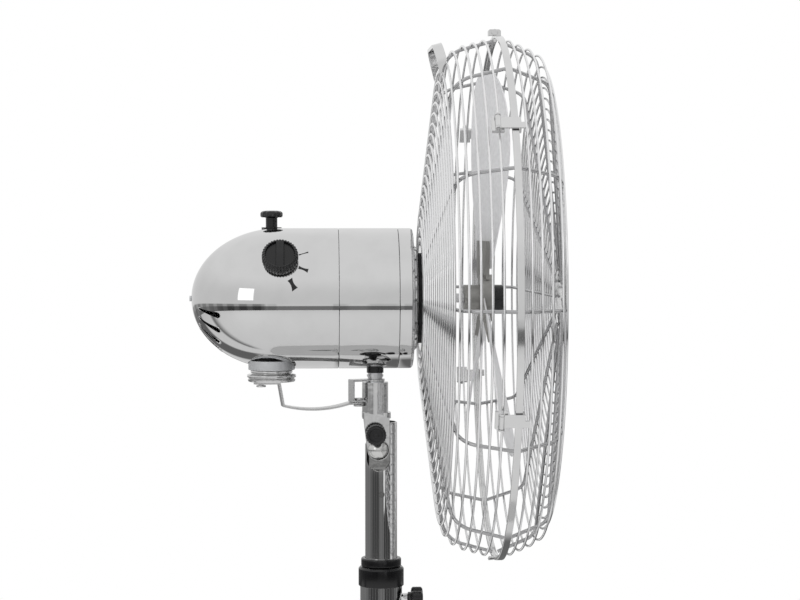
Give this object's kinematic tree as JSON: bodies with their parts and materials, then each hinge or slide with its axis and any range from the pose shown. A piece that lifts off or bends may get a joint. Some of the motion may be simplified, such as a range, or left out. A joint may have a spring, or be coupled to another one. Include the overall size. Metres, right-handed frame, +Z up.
{
  "type": "pedestal fan",
  "caption": "Pedestal fan with a round guard, three blades, a bullet-shaped motor housing on a tilting and swinging neck, a telescopic pole and a round base.",
  "frame": {"origin": "on the floor, in the axis of the pole", "axes": "+Z up along the pole, +X the way the air leaves, -Y the side of the speed dial"},
  "size_m": [0.4, 0.4572, 1.1643],
  "materials": {
    "polished_chrome": "mirror polished",
    "bright_steel": "bright",
    "cast_iron": "painted",
    "black_plastic": "satin",
    "grey_plastic": "matt",
    "black_rubber": "matt",
    "cast_aluminium": "as cast",
    "pole_plug_iron": "machined",
    "bronze": "sintered",
    "copper_wire": "varnished",
    "blade_aluminium": "brushed",
    "hub_metal": "dark grey"
  },
  "bodies": {
    "stand": {"base_cover": "polished_chrome", "base_weight": "cast_iron", "rubber_feet": "black_rubber", "base_bolt": "bright_steel", "pole_flange": "polished_chrome", "pole_plug": "pole_plug_iron", "outer_pole": "polished_chrome", "height_collar": "black_plastic", "pole_bush": "grey_plastic"},
    "height_knob": {"height_knob": "black_plastic"},
    "mast": {"inner_pole": "polished_chrome", "pole_tang": "polished_chrome", "pole_end_bush": "grey_plastic"},
    "bracket": {"tilt_bracket": "polished_chrome", "neck_bush": "bronze", "pivot_bolt": "polished_chrome", "swing_ear": "bright_steel"},
    "tilt_knob": {"tilt_knob": "black_plastic"},
    "head": {"neck_stub": "black_plastic", "neck_spindle": "bright_steel", "rear_housing": "polished_chrome", "middle_housing": "polished_chrome", "front_cover": "polished_chrome", "motor_rear_plate": "cast_aluminium", "motor_tie_rods": "bright_steel", "stator_core": "bright_steel", "stator_coils": "copper_wire", "shaft_bushes": "bronze", "gear_case": "cast_aluminium", "speed_switch": "black_plastic", "pull_collar": "black_plastic", "cable_gland": "black_rubber", "tail_screw": "bright_steel", "guard_gasket": "black_rubber", "rear_guard_plate": "polished_chrome", "guard_nut": "black_plastic", "rear_guard_ribs": "polished_chrome", "rear_guard_rings": "polished_chrome", "front_guard_ribs": "polished_chrome", "front_guard_rings": "polished_chrome", "front_disc": "polished_chrome", "rim_band": "polished_chrome", "rim_clamp": "polished_chrome", "carry_handle": "polished_chrome", "latch_hinges": "polished_chrome"},
    "rotor": {"rotor_shaft": "bright_steel", "blade_hub": "hub_metal", "fan_blades": "blade_aluminium", "spinner": "black_plastic"},
    "dial": {"speed_dial": "black_plastic"},
    "pull_knob": {"pull_knob": "black_plastic"},
    "worm_wheel": {"worm_wheel": "grey_plastic"},
    "pinion": {"gear_shaft": "bright_steel"},
    "crank": {"crank_gear": "bright_steel", "crank_bell": "polished_chrome"},
    "link": {"swing_link": "bright_steel"},
    "latch_1": {"rim_latch_1": "polished_chrome"},
    "latch_2": {"rim_latch_2": "polished_chrome"},
    "latch_3": {"rim_latch_3": "polished_chrome"},
    "latch_4": {"rim_latch_4": "polished_chrome"}
  },
  "joints": [
    {"name": "height_slide", "type": "slide", "parent": "stand", "child": "mast", "axis": [0, 0, 1], "range_m": [-0.08, 0.16]},
    {"name": "height_knob_turn", "type": "hinge", "parent": "stand", "child": "height_knob", "pos_m": [0.03, 0, 0.6621], "axis": [1, 0, 0], "range_deg": [0, 540]},
    {"name": "tilt", "type": "hinge", "parent": "mast", "child": "bracket", "pos_m": [-0.0026, 0, 0.7979], "axis": [0, -1, 0], "range_deg": [0, 20]},
    {"name": "tilt_knob_turn", "type": "hinge", "parent": "bracket", "child": "tilt_knob", "pos_m": [-0.00521, -0.02, 0.81211], "axis": [0, -1, 0], "range_deg": [0, 360]},
    {"name": "head_swing", "type": "hinge", "parent": "bracket", "child": "head", "pos_m": [-0.0052, 0, 0.86], "axis": [0, 0, 1], "range_deg": [-38, 38]},
    {"name": "rotor_spin", "type": "hinge", "parent": "head", "child": "rotor", "pos_m": [0.04, 0, 0.93], "axis": [1, 0, 0], "continuous": true},
    {"name": "dial_turn", "type": "hinge", "parent": "head", "child": "dial", "pos_m": [-0.0876, -0.05363, 0.96672], "axis": [0, -0.8251, 0.565], "range_deg": [0, 117]},
    {"name": "oscillation_pull", "type": "slide", "parent": "head", "child": "pull_knob", "axis": [0, 0, 1], "range_m": [-0.008, 0]},
    {"name": "worm_wheel_spin", "type": "hinge", "parent": "head", "child": "worm_wheel", "pos_m": [-0.0956, 0.012, 0.93], "axis": [0, 0, 1], "continuous": true},
    {"name": "pinion_spin", "type": "hinge", "parent": "head", "child": "pinion", "pos_m": [-0.0956, 0.012, 0.89], "axis": [0, 0, 1], "range_deg": [-134, 134]},
    {"name": "crank_turn", "type": "hinge", "parent": "head", "child": "crank", "pos_m": [-0.0956, -0.014, 0.87], "axis": [0, 0, 1], "range_deg": [-50, 50]},
    {"name": "link_turn", "type": "hinge", "parent": "bracket", "child": "link", "pos_m": [-0.02, -0.006, 0.838], "axis": [0, 0, 1], "range_deg": [-40.5, 40.5]},
    {"name": "latch_1_turn", "type": "hinge", "parent": "head", "child": "latch_1", "pos_m": [0.0865, -0.17742, 1.07887], "axis": [0, -0.6428, -0.766], "range_deg": [0, 75]},
    {"name": "latch_2_turn", "type": "hinge", "parent": "head", "child": "latch_2", "pos_m": [0.0865, 0.17742, 1.07887], "axis": [0, -0.6428, 0.766], "range_deg": [0, 75]},
    {"name": "latch_3_turn", "type": "hinge", "parent": "head", "child": "latch_3", "pos_m": [0.0865, -0.21474, 0.84324], "axis": [0, 0.3746, -0.9272], "range_deg": [0, 75]},
    {"name": "latch_4_turn", "type": "hinge", "parent": "head", "child": "latch_4", "pos_m": [0.0865, 0.21474, 0.84324], "axis": [0, 0.3746, 0.9272], "range_deg": [0, 75]}
  ],
  "couplings": [
    {"joint": "pinion_spin", "follows": "head_swing", "ratio": 3.499},
    {"joint": "crank_turn", "follows": "head_swing", "ratio": -1.289},
    {"joint": "link_turn", "follows": "head_swing", "ratio": 1.041},
    {"joint": "worm_wheel_spin", "follows": "rotor_spin", "ratio": -0.071429}
  ]
}
